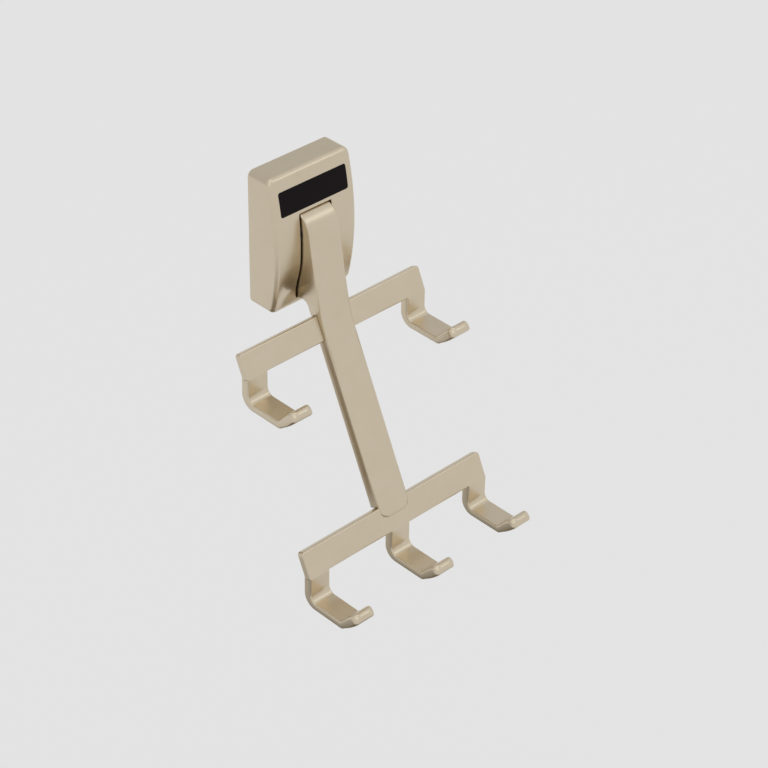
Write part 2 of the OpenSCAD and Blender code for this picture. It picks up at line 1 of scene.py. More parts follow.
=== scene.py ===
import math
import bmesh
import bpy
import numpy as np
from mathutils import Matrix, Vector


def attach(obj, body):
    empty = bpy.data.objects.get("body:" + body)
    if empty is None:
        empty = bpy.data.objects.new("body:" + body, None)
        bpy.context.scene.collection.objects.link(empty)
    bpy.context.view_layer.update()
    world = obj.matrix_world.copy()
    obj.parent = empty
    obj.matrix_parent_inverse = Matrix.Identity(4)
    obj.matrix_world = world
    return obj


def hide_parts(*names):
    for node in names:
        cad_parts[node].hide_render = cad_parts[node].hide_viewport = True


# Belt hook. Lengths are millimetres in the dictionaries of the pieces, the flag and the
# camera, and metres in those of the finishes, the stage and the lamps. Meshes are made in
# metres. X is the width, the wall is y = 0, the front faces -y and z is up.
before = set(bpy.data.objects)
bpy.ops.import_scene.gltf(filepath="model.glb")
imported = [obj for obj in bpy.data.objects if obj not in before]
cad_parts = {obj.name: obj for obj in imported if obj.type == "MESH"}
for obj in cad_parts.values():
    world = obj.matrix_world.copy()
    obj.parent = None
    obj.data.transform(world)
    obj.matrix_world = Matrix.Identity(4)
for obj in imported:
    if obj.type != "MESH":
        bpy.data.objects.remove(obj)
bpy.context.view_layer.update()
print("frame loaded")

mm = 0.001
# Stands in for the distance to a hook's tip, in millimetres, at points that are not near it
farAway = 99.0
# Distances for merging points, in metres, and the number of sides of a round rod
meshSettings = {"mergeWithin": 2e-6, "degenerateWithin": 1e-7, "rodSides": 48}


# Shader sockets with arithmetic: an expression on them adds its Math nodes
class Wire:
    def __init__(self, graph, socket):
        self.graph = graph
        self.socket = socket

    def math(self, operation, a, b):
        return self.graph.node("ShaderNodeMath", {"operation": operation}, {0: a, 1: b})

    def __add__(self, other):
        return self.math("ADD", self, other)

    def __sub__(self, other):
        return self.math("SUBTRACT", self, other)

    def __mul__(self, other):
        return self.math("MULTIPLY", self, other)

    def __rsub__(self, other):
        return self.math("SUBTRACT", other, self)

    __radd__ = __add__
    __rmul__ = __mul__


class Graph:
    def __init__(self, tree):
        self.tree = tree
        tree.nodes.clear()

    # Adds a node: its settings first, then the values or wires of its inputs
    def node(self, kind, settings=None, inputs=None, output=0):
        made = self.tree.nodes.new(kind)
        for key, value in (settings or {}).items():
            setattr(made, key, value)
        for key, value in (inputs or {}).items():
            if isinstance(value, Wire):
                self.tree.links.new(value.socket, made.inputs[key])
            else:
                made.inputs[key].default_value = value
        return Wire(self, made.outputs[output]) if made.outputs else None

    # The Mix node's colours are its inputs 6 and 7 and its output 2
    def mix(self, amount, a, b):
        return self.node("ShaderNodeMix", {"data_type": "RGBA"}, {0: amount, 6: a, 7: b}, output=2)

    def objectPlace(self):
        return self.node("ShaderNodeTexCoord", output="Object")

    def noise(self, place, size, **inputs):
        return self.node("ShaderNodeTexNoise", {}, {"Vector": place, "Scale": 1 / size, **inputs})

    def bump(self, height, depth):
        return self.node("ShaderNodeBump", {}, {
            "Strength": 1.0, "Distance": depth, "Height": height})


def newMaterial(name):
    material = bpy.data.materials.new(name)
    material.use_nodes = True
    return material, Graph(material.node_tree)


def finish(graph, shader):
    graph.node("ShaderNodeOutputMaterial", {}, {"Surface": shader})


def addObject(name, data):
    made = bpy.data.objects.new(name, data)
    bpy.context.scene.collection.objects.link(made)
    return made


# Satin nickel plate: fine even grain, faint clouds in tone and gloss
satinNickel = {
    "warm": (0.672, 0.578, 0.432, 1.0),
    "pale": (0.716, 0.628, 0.486, 1.0),
    "roughness": 0.29,
    "grainSize": 0.0003,
    "grainDetail": 3.0,
    "grainRoughness": 0.6,
    "grainDepth": 0.000004,
    "grainGloss": 0.05,
    "cloudSize": 0.009,
    "cloudDetail": 2.0,
    "cloudGloss": 0.04,
}


def makeNickel(p):
    material, g = newMaterial("satinNickel")
    place = g.objectPlace()
    grain = g.noise(place, p["grainSize"], Detail=p["grainDetail"], Roughness=p["grainRoughness"])
    cloud = g.noise(place, p["cloudSize"], Detail=p["cloudDetail"])
    colour = g.mix(cloud, p["warm"], p["pale"])
    roughness = (p["roughness"] + p["grainGloss"] * (grain - 0.5)
                 + p["cloudGloss"] * (cloud - 0.5))
    shader = g.node("ShaderNodeBsdfPrincipled", {}, {
        "Base Color": colour, "Metallic": 1.0, "Roughness": roughness,
        "Normal": g.bump(grain, p["grainDepth"])})
    finish(g, shader)
    return material


# Black inlay: even, with a soft sheen and a very slight orange peel
blackInlay = {"colour": (0.0088, 0.0062, 0.0070, 1.0), "roughness": 0.34, "gloss": 0.05,
              "peelSize": 0.0015, "peelDepth": 0.000003, "peelGloss": 0.06}


def makeInlayBlack(p):
    material, g = newMaterial("blackInlay")
    peel = g.noise(g.objectPlace(), p["peelSize"])
    shader = g.node("ShaderNodeBsdfPrincipled", {}, {
        "Base Color": p["colour"], "Roughness": p["roughness"] + p["peelGloss"] * (peel - 0.5),
        "Specular IOR Level": p["gloss"], "Normal": g.bump(peel, p["peelDepth"])})
    finish(g, shader)
    return material


# Zinc plated steel of the hidden hardware
zincSteel = {"colour": (0.55, 0.56, 0.58, 1.0), "dull": (0.44, 0.45, 0.47, 1.0),
             "roughness": 0.32, "spangle": 0.002, "spangleGloss": 0.1}


def makeZinc(p):
    material, g = newMaterial("zincPlate")
    spangle = g.node("ShaderNodeTexVoronoi", {}, {
        "Vector": g.objectPlace(), "Scale": 1 / p["spangle"]})
    tone = g.mix(spangle, p["dull"], p["colour"])
    shader = g.node("ShaderNodeBsdfPrincipled", {}, {
        "Base Color": tone, "Metallic": 1.0,
        "Roughness": p["roughness"] + p["spangleGloss"] * spangle})
    finish(g, shader)
    return material


# Moulded rubber of the rest pad and moulded plastic of the bushes
softParts = {
    "restRubber": {"colour": (0.03, 0.03, 0.032, 1.0), "roughness": 0.75, "grain": 0.0004,
                   "grainDepth": 0.00001, "grainGloss": 0.1},
    "bushNylon": {"colour": (0.02, 0.02, 0.02, 1.0), "roughness": 0.5, "grain": 0.0008,
                  "grainDepth": 0.00001, "grainGloss": 0.1},
}


def makeMoulded(name, p):
    material, g = newMaterial(name)
    grain = g.noise(g.objectPlace(), p["grain"])
    shader = g.node("ShaderNodeBsdfPrincipled", {}, {
        "Base Color": p["colour"], "Roughness": p["roughness"] + p["grainGloss"] * (grain - 0.5),
        "Normal": g.bump(grain, p["grainDepth"])})
    finish(g, shader)
    return material


nickel = makeNickel(satinNickel)
inlayBlack = makeInlayBlack(blackInlay)
zinc = makeZinc(zincSteel)
rubber = makeMoulded("restRubber", softParts["restRubber"])
nylon = makeMoulded("bushNylon", softParts["bushNylon"])
print("materials made")


# Puts points in millimetres and four-sided faces into a piece that rides on a body
def makePiece(name, points, quads, body, material, nodes, sharp=40):
    mesh = bpy.data.meshes.new(name)
    mesh.from_pydata((points * mm).tolist(), [], quads.tolist())
    work = bmesh.new()
    work.from_mesh(mesh)
    bmesh.ops.remove_doubles(work, verts=work.verts, dist=meshSettings["mergeWithin"])
    bmesh.ops.dissolve_degenerate(work, dist=meshSettings["degenerateWithin"], edges=work.edges)
    bmesh.ops.delete(work, geom=[v for v in work.verts if not v.link_faces], context="VERTS")
    work.to_mesh(mesh)
    openEdges = sum(1 for e in work.edges if len(e.link_faces) != 2)
    work.free()
    mesh.polygons.foreach_set("use_smooth", np.ones(len(mesh.polygons), bool))
    mesh.set_sharp_from_angle(angle=math.radians(sharp))
    mesh.materials.append(material)
    piece = addObject(name, mesh)
    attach(piece, body)
    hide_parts(*nodes)
    print("made", name, len(mesh.polygons), "faces,", openEdges, "open edges")
    return piece


# Joins rods and blocks to a piece, or cuts them out of it. A rod is [middle, direction,
# radius, half its length] and a block is [low corner, high corner].
def combine(piece, operation, rods=(), blocks=()):
    work = bmesh.new()
    for low, high in blocks:
        low, high = Vector(low) * mm, Vector(high) * mm
        place = Matrix.Translation((low + high) / 2) @ Matrix.Diagonal((*(high - low), 1))
        bmesh.ops.create_cube(work, size=1, matrix=place)
    for middle, direction, radius, halfLength in rods:
        turn = Vector(direction).to_track_quat("Z", "Y").to_matrix().to_4x4()
        place = Matrix.Translation(Vector(middle) * mm) @ turn
        bmesh.ops.create_cone(work, cap_ends=True, segments=meshSettings["rodSides"],
                              radius1=radius * mm, radius2=radius * mm,
                              depth=2 * halfLength * mm, matrix=place)
    mesh = bpy.data.meshes.new("tool")
    work.to_mesh(mesh)
    work.free()
    tool = addObject("tool", mesh)
    modifier = piece.modifiers.new("combine", "BOOLEAN")
    modifier.operation = operation
    modifier.object = tool
    modifier.solver = "EXACT"
    seen = piece.evaluated_get(bpy.context.evaluated_depsgraph_get())
    combined = bpy.data.meshes.new_from_object(seen)
    piece.modifiers.clear()
    piece.data = combined
    bpy.data.objects.remove(tool)
    print(operation.lower(), len(rods), "rods and", len(blocks), "blocks on", piece.name)


def ease(t):
    t = np.clip(t, 0, 1)
    return t * t * (3 - 2 * t)


# Distances from a sharp edge at which lines lie, so that a radius r is drawn evenly. The
# last line lies a little beyond the radius and holds the flat face.
edgeReach = 1.3


def edgeLines(r, steps=6):
    return np.append(r * (1 - np.sin(np.linspace(math.pi / 2, 0, steps))), edgeReach * r)


# How far a surface sinks at the distance d inside an edge of radius r:
# r - sqrt(r^2 - (r - d)^2), and nothing beyond the radius
def edgeDrop(d, r):
    return r - np.sqrt(np.clip(r * r - np.clip(r - d, 0, r) ** 2, 0, None))


# Unit vectors into the metal along an open outline that runs downward, from its front
# side (side 1) or its back side (side -1)
def inward(path, side):
    run = np.gradient(path, axis=0)
    normal = side * np.stack([-run[:, 1], run[:, 0]], -1)
    return normal / np.maximum(np.linalg.norm(normal, axis=1, keepdims=True), 1e-9)


# A front and a back grid of points, joined round the rim of the cells that are used
def sheetMesh(front, back, used):
    rows, columns = front.shape[:2]
    n = rows * columns
    grid = np.arange(n).reshape(rows, columns)
    a, b, c, d = grid[:-1, :-1], grid[:-1, 1:], grid[1:, 1:], grid[1:, :-1]
    padded = np.pad(used, 1)
    up = used & ~padded[:-2, 1:-1]
    down = used & ~padded[2:, 1:-1]
    left = used & ~padded[1:-1, :-2]
    right = used & ~padded[1:-1, 2:]
    quads = np.concatenate([
        np.stack([a, d, c, b], -1)[used],
        np.stack([a + n, b + n, c + n, d + n], -1)[used],
        np.stack([a, b, b + n, a + n], -1)[up],
        np.stack([d, d + n, c + n, c], -1)[down],
        np.stack([a, a + n, d + n, d], -1)[left],
        np.stack([b, c, c + n, b + n], -1)[right],
    ])
    return np.concatenate([front.reshape(-1, 3), back.reshape(-1, 3)]), quads


# Arm: cornerAt, bottomAt and backFrom are places along the front path that pair with the
# back's corners, and tongueFrom is measured from the arm's end. tongueTo and innerFrom are
# in edge radii. The edge radius grows between the two heights of edgeGrows. The rows run
# from the knuckle to the end, and across counts the even columns.
armShape = {
    "width": 18.0, "thickness": 6.7, "knuckleR": 10.8, "neckLean": 11.3, "armLean": 25.2,
    "neckHeight": 41.6, "bendR": 60.0, "neckBack": -10.3, "heelZ": -30.7, "heelR": 3.5,
    "endR": 4.5, "pivot": (-13.2, 3.2), "edgeR": 1.5, "knuckleEdgeR": 0.7, "backR": 0.4,
    "upperBarAt": 7.6, "barPitch": 97.1, "upperStep": 2.2, "lowerStep": 0.8, "lapDepth": 1.8,
    "lapHeight": 6.2, "lapGap": 0.1, "cornerAt": -22, "bottomAt": -12, "backFrom": -7.5,
    "tongueFrom": 5.6, "tongueTo": 1.35, "innerFrom": 1.5, "stepHalf": 0.03,
    "edgeGrows": [-18, 13], "neckShift": 0.01, "jointDrop": 1, "heelHold": 1,
    "rows": {"knuckle": 60, "neck": 30, "bottom": 12, "heel": 10, "aboveLap": 4, "lap": 16,
             "straight": 60, "tongue": 14, "across": 15},
}
# Crossbars: slack is how far a column may lie off a hook's side and still count as on it,
# a hook's side within endWithin of the bar's end is that end, closest is the least gap
# between columns, and even rows and columns begin evenFrom edge radii from the edges. The
# rows run from the bar's top edge to the tip, and along counts the even columns.
barShape = {
    "upperHeight": 12.4, "lowerHeight": 13.5, "thickness": 4.1, "cornerR": 1.6, "edgeR": 0.7,
    "upperHookX": 49.3, "lowerHookX": 51.0, "hookWidth": 11.9, "legHeight": 12.6,
    "upperLegHeight": 11.9,
    "legThickness": 4.5, "shelfLength": 19.3, "shelfThickness": 3.6, "heelOutR": 7.0,
    "heelInR": 3.5, "creaseR": 2.0, "tipLength": 11.8, "tipThickness": 3.5, "tipRise": 46.0,
    "rollAbove": 0.4, "rollBelow": 1.3, "tipCornerR": 3.0, "tipEdgeR": 1.6, "screwPitch": 9.0,
    "screwHoleR": 2.85, "screwHoleDepth": 1.4, "screwDrop": 0.2, "slack": 0.001,
    "sideLines": [0.7, 0.85, 1.0], "pocketLine": 0.02, "closest": 0.015, "tipEasing": 0.75,
    "evenFrom": 1.4, "endWithin": 0.1,
    "rows": {"bar": 12, "leg": 10, "heel": 13, "shelf": 13, "crease": 9, "tip": 15, "roll": 14,
             "along": 80},
}
# The arm's own axes in the side plane [y, z]: down the slope, and out of its face
lean = math.radians(armShape["armLean"])
neckLean = math.radians(armShape["neckLean"])
downArm = np.array([-math.sin(lean), -math.cos(lean)])
outArm = np.array([-math.cos(lean), math.sin(lean)])
downNeck = np.array([-math.sin(neckLean), -math.cos(neckLean)])
pivot = np.array(armShape["pivot"])
knuckleFront = pivot + armShape["knuckleR"] * np.array([-math.cos(neckLean), math.sin(neckLean)])
neckRun = (armShape["neckHeight"] + knuckleFront[1] - pivot[1]) / math.cos(neckLean)
bend = knuckleFront + downNeck * neckRun
lowerBarAt = armShape["upperBarAt"] + armShape["barPitch"]


def onArm(s, n):
    return bend + np.multiply.outer(s, downArm) + np.multiply.outer(n, outArm)


def arcPoints(centre, r, fromAngle, toAngle, count):
    t = np.radians(np.linspace(fromAngle, toAngle, count))
    return np.asarray(centre) + np.stack([r * np.cos(t), r * np.sin(t)], -1)


# Arm: an outline in the side plane, with a front path and a back path that share their
# rows, carried across the width. Its sides draw in round the lower end, and both faces
# sink towards the rim as an edge radius does.
def makeArm(p, bars):
    half, r, t = p["width"] / 2, p["edgeR"], p["thickness"]
    halfTurn = (lean - neckLean) / 2
    bendRun = p["bendR"] * math.tan(halfTurn)
    inAngle = 180 - math.degrees(neckLean)
    bendCentre = bend - downNeck * bendRun + p["bendR"] * np.array(
        [-math.cos(neckLean), math.sin(neckLean)])
    armEnd = lowerBarAt - bars["lowerHeight"] + p["lapHeight"]
    behindPivot = p["neckBack"] - pivot[0]
    jointAngle = -math.degrees(math.acos(behindPivot / p["knuckleR"]))
    jointZ = pivot[1] + p["knuckleR"] * math.sin(math.radians(jointAngle))
    count = p["rows"]
    knuckle = arcPoints(pivot, p["knuckleR"], jointAngle, inAngle, count["knuckle"])

    # Front path by its place s along the arm, where the bend's corner is 0
    def frontAt(s):
        s = np.asarray(s, float)
        turn = np.clip((s + bendRun) / (2 * bendRun), 0, 1) * 2 * halfTurn + neckLean
        onArc = bendCentre + p["bendR"] * np.stack([np.cos(turn), -np.sin(turn)], -1)
        neck = bend + np.multiply.outer(s, downNeck)
        straight = onArm(s, 0 * s)
        return np.where((s < -bendRun)[:, None], neck,
                        np.where((s > bendRun)[:, None], straight, onArc))

    heelBackTop = onArm(np.array(0.0), np.array(-t))
    heel = np.array([heelBackTop[0] + (p["heelZ"] - heelBackTop[1]) * downArm[0] / downArm[1],
                     p["heelZ"]])
    turn = math.acos(downArm[0])
    heelRun = p["heelR"] / math.tan(turn / 2)
    middle = np.array([1, 0]) + downArm
    heelCentre = heel + middle / np.linalg.norm(middle) * p["heelR"] / math.sin(turn / 2)
    fromHeel = heel + np.array([1, 0]) * heelRun
    toHeel = heel + downArm * heelRun
    heelFrom = math.degrees(math.atan2(*(fromHeel - heelCentre)[::-1]))
    heelTo = math.degrees(math.atan2(*(toHeel - heelCentre)[::-1]))
    if heelTo < heelFrom - 180:
        heelTo += 360
    heelS = float((toHeel - bend) @ downArm)
    web = p["upperStep"] + p["lapDepth"]
    tongue = p["lowerStep"] + p["lapDepth"]
    pocketTop = p["upperBarAt"] - bars["upperHeight"] - p["lapGap"]
    pocketEnd = p["upperBarAt"] + p["lapGap"]
    shoulder = lowerBarAt - bars["lowerHeight"] - p["lapGap"]
    # Front places that pair with the back's neck, bottom and heel, and with the rest. Two
    # rows lie close together at each step of the back.
    rowsBack = np.linspace(-neckRun, p["cornerAt"], count["neck"])
    rowsBottom = np.linspace(p["cornerAt"], p["bottomAt"], count["bottom"])[1:]
    rowsHeel = np.linspace(p["bottomAt"], heelS, count["heel"])[1:]
    e = p["stepHalf"]
    rowsArm = np.concatenate([
        [heelS + p["heelHold"]],
        np.linspace(p["backFrom"], pocketTop - e, count["aboveLap"]),
        np.linspace(pocketTop + e, pocketEnd - e, count["lap"]),
        np.linspace(pocketEnd + e, shoulder - e, count["straight"]),
        [shoulder + e],
        armEnd - np.linspace(p["tongueFrom"], r * p["tongueTo"], count["tongue"]),
        armEnd - edgeLines(r)[::-1]])
    depth = np.where((rowsArm > pocketTop) & (rowsArm < pocketEnd), web,
                     np.where(rowsArm > shoulder, tongue, t))
    neckZ = jointZ - p["jointDrop"]
    backZ = np.concatenate([np.linspace(jointZ, neckZ, count["knuckle"]),
                            np.linspace(neckZ, p["heelZ"], count["neck"])])
    bottomY = np.linspace(p["neckBack"], fromHeel[0], count["bottom"])[1:]
    back = np.concatenate([
        np.stack([np.full(len(backZ), p["neckBack"]), backZ], -1),
        np.stack([bottomY, np.full(len(bottomY), p["heelZ"])], -1),
        arcPoints(heelCentre, p["heelR"], heelFrom, heelTo, count["heel"])[1:],
        onArm(rowsArm, -depth)])
    front = np.concatenate([knuckle, frontAt(np.concatenate(
        [rowsBack + p["neckShift"], rowsBottom, rowsHeel, rowsArm]))])
    s = np.concatenate([np.full(count["knuckle"], -neckRun), rowsBack, rowsBottom, rowsHeel,
                        rowsArm])
    toEnd = armEnd - s
    endR = p["endR"]
    draw = np.clip(endR - toEnd, 0, endR)
    halfAt = half - endR + np.sqrt(endR ** 2 - draw ** 2)
    # The edge radius grows down the neck from a small one at the knuckle
    rowR = np.interp(front[:, 1], p["edgeGrows"], [r, p["knuckleEdgeR"]])
    inner = np.linspace(-1, 1, count["across"])[:, None] * (halfAt - p["innerFrom"] * rowR)
    lines = edgeLines(1.0)[:, None] * rowR
    x = np.concatenate([-halfAt + lines, inner, (halfAt - lines)[::-1]]).T
    qx = np.abs(x) - (half - endR)
    qz = (endR - toEnd)[:, None]
    inCorner = endR - np.hypot(np.maximum(qx, 0), np.maximum(qz, 0))
    d = np.where((qx > 0) & (qz > 0), inCorner, np.minimum(half - np.abs(x), toEnd[:, None]))
    frontDrop = edgeDrop(d, rowR[:, None])[..., None]
    backDrop = edgeDrop(d, p["backR"])[..., None]
    f = front[:, None, :] + inward(front, 1)[:, None, :] * frontDrop
    b = back[:, None, :] + inward(back, -1)[:, None, :] * backDrop
    frontGrid = np.concatenate([x[..., None], f], -1)
    backGrid = np.concatenate([x[..., None], b], -1)
    used = np.ones((x.shape[0] - 1, x.shape[1] - 1), bool)
    points, quads = sheetMesh(frontGrid, backGrid, used)
    makePiece("armCasting", points, quads, "swing", nickel, ["arm"])


makeArm(armShape, barShape)


# Side paths of a bar and its hooks from the bar's top edge down to the tip: the front, the
# back, how many of their rows are the bar's, the height of those rows above the bar's lower
# edge, and the distance of each row to the tip's end
def hookPaths(p, height):
    r, t, count = p["edgeR"], p["thickness"], p["rows"]
    top = edgeLines(r)
    even = np.linspace(p["evenFrom"] * r, height - p["evenFrom"] * r, count["bar"])
    u = height - np.concatenate([top, even, height - top[::-1]])
    front = [np.multiply.outer(-u, downArm)]
    back = [front[0] - outArm * t]
    leg = count["leg"]
    legEnd = -p["legHeight"] + p["heelInR"]
    roundZ = -p["legHeight"] - p["shelfThickness"] + p["heelOutR"]
    lowerBackZ = back[0][-1][1]
    front.append(np.stack([np.zeros(leg), np.linspace(0, legEnd, leg + 1)[1:]], -1))
    back.append(np.stack([np.full(leg, p["legThickness"]),
                          np.linspace(lowerBackZ, roundZ, leg + 1)[1:]], -1))
    front.append(arcPoints([-p["heelInR"], legEnd], p["heelInR"], 0, -90, count["heel"])[1:])
    back.append(arcPoints([p["legThickness"] - p["heelOutR"], roundZ], p["heelOutR"],
                          0, -90, count["heel"])[1:])
    crease = np.array([-p["shelfLength"], -p["legHeight"]])
    rise = math.radians(p["tipRise"])
    creaseRun = p["creaseR"] * math.tan(rise / 2)
    shelfStart, backStart = front[-1][-1], back[-1][-1]
    shelf = np.linspace(0, 1, count["shelf"])[1:, None]
    front.append(shelfStart + shelf * (crease + [creaseRun, 0] - shelfStart))
    back.append(backStart + shelf * (crease - [0, p["shelfThickness"]] - backStart))
    turn = -90 - p["tipRise"]
    front.append(arcPoints(crease + [creaseRun, p["creaseR"]], p["creaseR"], -90, turn,
                           count["crease"])[1:])
    swept = np.radians(np.linspace(-90, turn, count["crease"])[1:])
    reach = np.linspace(p["shelfThickness"], p["tipThickness"], count["crease"])[1:]
    back.append(crease + np.stack([reach * np.cos(swept), reach * np.sin(swept)], -1))
    along = np.array([-math.cos(rise), math.sin(rise)])
    under = np.array([-math.sin(rise), -math.cos(rise)])
    tipRun = p["tipLength"] - p["tipThickness"] / 2
    stretch = np.linspace(0, 1, count["tip"])[1:, None]
    swell = stretch ** 2 * (3 - 2 * stretch)
    belly = np.sin(stretch * math.pi / 2)
    tipStart, tipEnd = front[-1][-1], crease + along * tipRun
    underStart = back[-1][-1]
    # The tip swells into a rounded roll at its end
    front.append(tipStart + stretch * (tipEnd - tipStart) - swell * p["rollAbove"] * under)
    back.append(underStart + stretch * (tipEnd + under * p["tipThickness"] - underStart)
                + belly * p["rollBelow"] * under)
    centre = (front[-1][-1] + back[-1][-1]) / 2
    half = (p["tipThickness"] + p["rollAbove"] + p["rollBelow"]) / 2
    for path, start in ((front, 90), (back, 270)):
        path.append(arcPoints(centre, half, start - p["tipRise"], 180 - p["tipRise"],
                              count["roll"])[1:])
    barRows = len(u)
    front, back = np.concatenate(front), np.concatenate(back)
    toEnd = np.full(len(front), farAway)
    toEnd[barRows:] = half - ((front[barRows:] + back[barRows:]) / 2 - centre) @ along
    return front, back, barRows, u, toEnd


# Crossbar: the bar and its hooks are one bent strap. Its outline is a bar with legs, and
# its faces sink towards that outline as an edge radius does.
def makeCrossbar(name, node, p, height, hookX, places, corner, pocket):
    r, w = p["edgeR"], p["hookWidth"]
    halfBar = hookX + w / 2
    lines = np.append(edgeLines(r), np.array(p["sideLines"]) * p["tipEdgeR"])
    even = p["evenFrom"] * r
    xs = [np.linspace(-halfBar + even, halfBar - even, p["rows"]["along"])]
    for place in places:
        middle = place * hookX
        for side in (-1, 1):
            edge = middle + side * w / 2
            xs.append(edge - side * lines)
            if abs(edge) < halfBar - p["endWithin"]:
                xs.append(edge + side * lines)
    for side in (-1, 1):
        xs.append(side * (pocket + np.array([-1, 1]) * p["pocketLine"]))
    xs = np.unique(np.round(np.concatenate(xs), 4))
    xs = xs[np.append(True, np.diff(xs) > p["closest"])]
    front, back, barRows, u, toTip = hookPaths(p, height)
    rows = len(front)
    x = np.broadcast_to(xs, (rows, len(xs))).copy()
    # How far each column lies inside the sides of the hook nearest to it
    toSide = np.max([w / 2 - np.abs(xs - place * hookX) for place in places], axis=0)
    hook = toSide > -p["slack"]
    edges = np.concatenate([[place * hookX - w / 2, place * hookX + w / 2] for place in places])
    toEnd = halfBar - np.abs(xs)
    # Outer hooks have no free edge beyond them, so only their inner side counts
    innerEdges = edges[np.abs(edges) < halfBar - p["endWithin"]]
    nearest = np.min(np.abs(xs[:, None] - innerEdges[None, :]), axis=1)
    across = np.where(hook, nearest, 0.0)
    dBar = np.minimum(np.hypot(across[None, :], u[:, None]), (height - u)[:, None])
    dBar = np.minimum(dBar, toEnd[None, :])
    c = p["cornerR"]
    a = np.clip((c - toEnd[None, :]) / c, 0, 1) * np.ones((barRows, 1))
    b = np.clip((c - (height - u)[:, None]) / c, 0, 1) * np.ones((1, len(xs)))
    inCorner = (a > 0) & (b > 0)
    aRound = a * np.sqrt(1 - b * b / 2)
    bRound = b * np.sqrt(1 - a * a / 2)
    dBar = np.where(inCorner, c - c * np.hypot(aRound, bRound), dBar)
    pull = np.where(inCorner, c * (a - aRound), 0)
    slide = np.where(inCorner, c * (b - bRound), 0)
    x[:barRows] -= np.sign(xs)[None, :] * pull
    d = np.empty((rows, len(xs)))
    d[:barRows] = dBar
    d[barRows:] = np.minimum(toSide, toEnd)[None, :]
    # The sides of the tip are rounder than the strap's other edges
    rowR = r + (p["tipEdgeR"] - r) * ease(1 - toTip / (p["tipEasing"] * p["tipLength"]))
    drop = edgeDrop(np.maximum(d, 0), rowR[:, None])[..., None]
    f = front[:, None, :] + inward(front, 1)[:, None, :] * drop
    k = back[:, None, :] + inward(back, -1)[:, None, :] * drop
    f[:barRows] += slide[..., None] * downArm
    k[:barRows] += slide[..., None] * downArm
    k[:barRows, hook, 0] = np.maximum(k[:barRows, hook, 0],
                                      p["legThickness"] - drop[:barRows, hook, 0])
    inPocket = np.abs(xs) < pocket
    f[:barRows, inPocket] -= outArm * armShape["lapDepth"]
    frontX, backX = x.copy(), x.copy()
    # The end of each tip has rounded corners seen from above
    nose = front[-1]
    rise = math.radians(p["tipRise"])
    along = np.array([-math.cos(rise), math.sin(rise)])
    onTip = (toTip < p["tipLength"] / 2)[:, None]
    for points, gridX in ((f, frontX), (k, backX)):
        toNose = np.where(onTip, (nose - points) @ along, farAway)
        draw = np.clip(p["tipCornerR"] - toNose, 0, p["tipCornerR"])
        narrow = (p["tipCornerR"] - np.sqrt(p["tipCornerR"] ** 2 - draw ** 2)) / (w / 2)
        for place in places:
            near = np.abs(xs - place * hookX) < w / 2 + p["slack"]
            gridX[:, near] -= narrow[:, near] * (xs[near] - place * hookX)
    frontGrid = np.concatenate([frontX[..., None], f + corner], -1)
    backGrid = np.concatenate([backX[..., None], k + corner], -1)
    middleX = (xs[:-1] + xs[1:]) / 2
    inHook = np.any([np.abs(middleX - place * hookX) < w / 2 for place in places], axis=0)
    used = np.ones((rows - 1, len(xs) - 1), bool)
    used[barRows - 1:] = inHook[None, :]
    points, quads = sheetMesh(frontGrid, backGrid, used)
    return makePiece(name, points, quads, "swing", nickel, [node])


upperCorner = onArm(np.array(armShape["upperBarAt"]), np.array(-armShape["upperStep"]))
lowerCorner = onArm(np.array(lowerBarAt), np.array(-armShape["lowerStep"]))
pocketHalf = armShape["width"] / 2 + armShape["lapGap"]
# Only the upper bar has a pocket in its front, and a negative half width cuts none
noPocket = -1
upperShape = dict(barShape, legHeight=barShape["upperLegHeight"])
upperBar = makeCrossbar("upperCrossbar", "upper_crossbar", upperShape, barShape["upperHeight"],
                        barShape["upperHookX"], (-1, 1), upperCorner, pocketHalf)
lowerBar = makeCrossbar("lowerCrossbar", "lower_crossbar", barShape, barShape["lowerHeight"],
                        barShape["lowerHookX"], (-1, 0, 1), lowerCorner, noPocket)
for bar, corner, rise in (
        (upperBar, upperCorner, barShape["upperHeight"] / 2),
        (lowerBar, lowerCorner, barShape["lowerHeight"] - armShape["lapHeight"] / 2
         - barShape["screwDrop"])):
    middle = corner - downArm * rise - outArm * barShape["thickness"]
    combine(bar, "DIFFERENCE", [
        [(side * barShape["screwPitch"] / 2, *middle), (0, *outArm),
         barShape["screwHoleR"], barShape["screwHoleDepth"]] for side in (-1, 1)])
print("arm and crossbars made")

